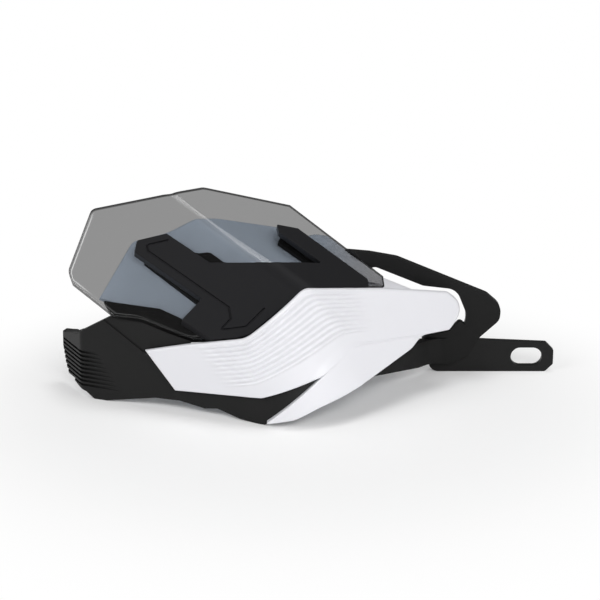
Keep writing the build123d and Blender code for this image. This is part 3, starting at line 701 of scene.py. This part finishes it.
def softened(name, part):  # a merged copy of a CAD node's mesh, chosen edges rounded
    work = bmesh.new()
    work.from_mesh(nodes[part["node"]].data)
    bmesh.ops.remove_doubles(work, verts=work.verts, dist=rounding["merge"])
    bmesh.ops.dissolve_limit(work, angle_limit=rounding["flat"], verts=work.verts, edges=work.edges)
    bmesh.ops.recalc_face_normals(work, faces=work.faces)
    weight = work.edges.layers.float.new("bevel_weight_edge")
    picked = {edge for edge in work.edges if len(edge.link_faces) == 2 and part["chosen"](edge)}
    least = rounding["room"] * part["width"]
    for step in range(3):  # no rounding beside edges too short to make room for it
        short = set()
        for edge in picked:
            beside = [near for corner in edge.verts for near in corner.link_edges if near not in picked]
            if any(near.calc_length() <= least for near in beside):
                short.add(edge)
        picked = picked - short
    for edge in picked:
        edge[weight] = 1.0
    print(name, "rounded edges:", len(picked))
    mesh = bpy.data.meshes.new(name)
    work.to_mesh(mesh)
    work.free()
    piece = addPiece(name, mesh, part["slot"], part["node"], part.get("finish"))
    mesh.set_sharp_from_angle(angle=part["crease"])
    edges = piece.modifiers.new("edges", "BEVEL")
    edges.width = part["width"]
    edges.segments = rounding["segments"]
    edges.limit_method = "WEIGHT"
    edges.use_clamp_overlap = False
    edges.harden_normals = True
    return piece


def deepEdge(edge):  # a sharp edge whose two faces both run on for more than a groove's depth
    area = min(side.calc_area() for side in edge.link_faces)
    return edge.calc_face_angle(0.0) > rounding["sharp"] and area > rounding["leastArea"]


def clampEdge(edge):  # an outer edge of the clamp's front: its side wall runs right through the clamp
    depth = max(hoodBack(np.array(corner.co) * 1000.0 - chin) for corner in edge.verts)
    walls = [corner for side in edge.link_faces for corner in side.verts]
    reach = max(hoodBack(np.array(corner.co) * 1000.0 - chin) for corner in walls)
    outer = depth < rounding["atFront"] and reach > rounding["through"]
    return outer and edge.calc_face_angle(0.0) > rounding["sharp"]


blackParts = {
    "shellBody": {
        "node": "outer_shell",
        "slot": "black_moulding",
        "width": 0.0011,
        "chosen": deepEdge,
        "crease": radians(9.0),
    },
    "clampBody": {
        "node": "screen_clamp",
        "slot": "satin_black",
        "width": 0.0004,
        "chosen": clampEdge,
        "crease": radians(24.0),
    },
    "carrierBody": {
        "node": "screen_carrier",
        "slot": "black_moulding",
        "width": 0.0006,
        "chosen": deepEdge,
        "crease": radians(24.0),
        # painted shade: the carrier takes a darker copy of the shell's black
        "finish": mouldedPlastic("carrierPaintedShadeBlack", carrierPaintedShadeLook),
    },
    "frameBody": {
        "node": "support_frame",
        "slot": "frame_black",
        "width": 0.0009,
        "chosen": deepEdge,
        "crease": radians(24.0),
    },
    "bracketPlate": {
        "node": "mount_bracket",
        "slot": "bracket_black",
        "width": 0.0006,
        "chosen": deepEdge,
        "crease": radians(24.0),
    },
}
for name, part in blackParts.items():
    softened(name, part)

web = {
    "top": [
        *[(95.5, 22.6), (99.0, 25.2), (107.0, 26.6), (112.0, 28.0)],
        *[(117.0, 33.6), (118.4, 34.2), (121.0, 31.8), (122.5, 31.0)],
    ],
    "low": [(95.5, 21.0), (110.0, 21.5), (115.0, 22.9), (118.6, 25.5), (121.0, 29.0), (122.5, 30.5)],
    "soft": 1.4,
    "grid": ((80, 0.4), (24, 0.6)),
    "least": 0.2,
    "front": 86.85,
    "back": 91.75,
    "roll": 0.5,
}


def buildWeb():  # the frame's inner corner: a flat plate between a low and a top path, its top edge rounded
    s, t = gridShares(*web["grid"])
    x = along(web["low"], s) + 0.0 * t
    lowZ = softPath(web["low"], x, web["soft"])
    tall = np.maximum(softPath(web["top"], x, web["soft"]) - lowZ, web["least"])
    z = lowZ + tall * t
    roll = edgeRoll((1.0 - t) * tall, web["roll"])
    front = np.stack([x, web["front"] + roll, z], -1)
    rear = np.stack([x, web["back"] - roll, z], -1)
    return meshPiece("frameWeb", *closedSheet(front, rear), "frame_black", "support_frame")


buildWeb()
print("black pieces softened")

stage = {
    "floorHeight": cadBox[0][2],
    "floorHalf": 6.0,
    "floorColour": (0.93, 0.93, 0.93, 1.0),
    "floorGloss": 0.8,  # how much of the white a glossy surface sees in the floor
    "middle": (-0.14, -0.08, 0.0),
    "nearShare": 0.1,
    "nearReach": 0.09,
    "farReach": 0.26,
    "worldGloss": 0.1,
    "worldLight": 0.03,
    "lampAim": (-0.14, -0.05, 0.05),
}


def seenWhite(finish, glossy):  # 1 for the viewer's own rays, and a share for what gloss reflects
    direct = finish.add("ShaderNodeLightPath", output="Is Camera Ray")
    through = finish.add("ShaderNodeLightPath", output="Is Transmission Ray")
    return direct + through + finish.add("ShaderNodeLightPath", output="Is Glossy Ray") * glossy


def buildFloor():  # a wide floor that takes the object's shadow and turns plain white further out
    corners = np.array([(-1, -1), (1, -1), (1, 1), (-1, 1)]) * stage["floorHalf"]
    points = np.column_stack([corners, np.full(4, stage["floorHeight"])])
    mesh = bpy.data.meshes.new("floor")
    mesh.from_pydata(points.tolist(), [], [(0, 1, 2, 3)])
    floor = bpy.data.objects.new("floor", mesh)
    bpy.context.collection.objects.link(floor)
    finish = newFinish("floorWhite", {"Roughness": 1.0, "Specular IOR Level": 0.0, "Base Color": stage["floorColour"]})
    glow = finish.add("ShaderNodeEmission", None, {"Strength": 1.0})
    lit = Sock(finish, finish.shader.outputs[0])
    place = finish.add("ShaderNodeTexCoord", output="Object")
    away = finish.add(
        "ShaderNodeVectorMath", {"operation": "DISTANCE"}, {0: place, 1: stage["middle"]}, output="Value"
    )
    share = finish.add(
        "ShaderNodeMapRange",
        {"interpolation_type": "SMOOTHSTEP"},
        {"Value": away, "From Min": stage["nearReach"], "From Max": stage["farReach"], "To Min": stage["nearShare"]},
    )
    white = seenWhite(finish, stage["floorGloss"]) * share
    both = finish.add("ShaderNodeMixShader", None, {0: white, 1: lit, 2: glow})
    finish.tree.links.new(both.socket, finish.tree.nodes["Material Output"].inputs["Surface"])
    mesh.materials.append(finish.material)


def buildWorld():  # white to the viewer, faint as a light
    world = bpy.data.worlds.new("studio")
    world.use_nodes = True
    bpy.context.scene.world = world
    finish = Finish(world.node_tree)
    light = stage["worldLight"]
    strength = seenWhite(finish, stage["worldGloss"]) * (1.0 - light) + light
    finish.feed(world.node_tree.nodes["Background"], {"Color": (1, 1, 1, 1), "Strength": strength})


def buildLamp(name, lamp):  # a rectangular lamp turned towards the object
    data = bpy.data.lights.new(name, "AREA")
    data.shape = "RECTANGLE"
    data.size, data.size_y = lamp["size"]
    data.energy = lamp["power"]
    light = bpy.data.objects.new(name, data)
    bpy.context.collection.objects.link(light)
    place = np.array(lamp["place"])
    aim = np.array(stage["lampAim"]) - place
    aim = aim / np.linalg.norm(aim)
    light.location = place
    light.rotation_euler = (np.arccos(-aim[2]), 0, np.arctan2(aim[1], aim[0]) - radians(90))


def buildCamera(view):  # looks along +Y and down by an angle
    data = bpy.data.cameras.new("camera")
    data.sensor_width = view["sensor"]
    data.lens = view["lens"]
    data.clip_start = view["near"]
    camera = bpy.data.objects.new("camera", data)
    camera.location = view["place"]
    camera.rotation_euler = (radians(90 - view["down"]), 0, 0)
    bpy.context.collection.objects.link(camera)
    bpy.context.scene.camera = camera


lamps = {
    "frontBox": {"place": (0.25, -1.4, 0.95), "size": (1.0, 0.5), "power": 15.0},
    "leftBox": {"place": (-1.09, -0.7, 0.78), "size": (0.9, 0.45), "power": 8.0},
    "rightBox": {"place": (1.0, -0.6, 0.7), "size": (1.0, 0.8), "power": 4.3},
    "foldBox": {"place": (0.12, 0.16, 1.2), "size": (0.45, 0.5), "power": 4.4},  # the line on the screen's fold
}
frontView = {"place": (-0.1380, -1.1161, 0.3976), "down": 18.0, "lens": 116.13, "sensor": 36.0, "near": 0.05}
buildFloor()
buildWorld()
for name, lamp in lamps.items():
    buildLamp(name, lamp)
buildCamera(frontView)
bpy.context.scene.view_settings.view_transform = "Standard"
print("stage and camera ready")
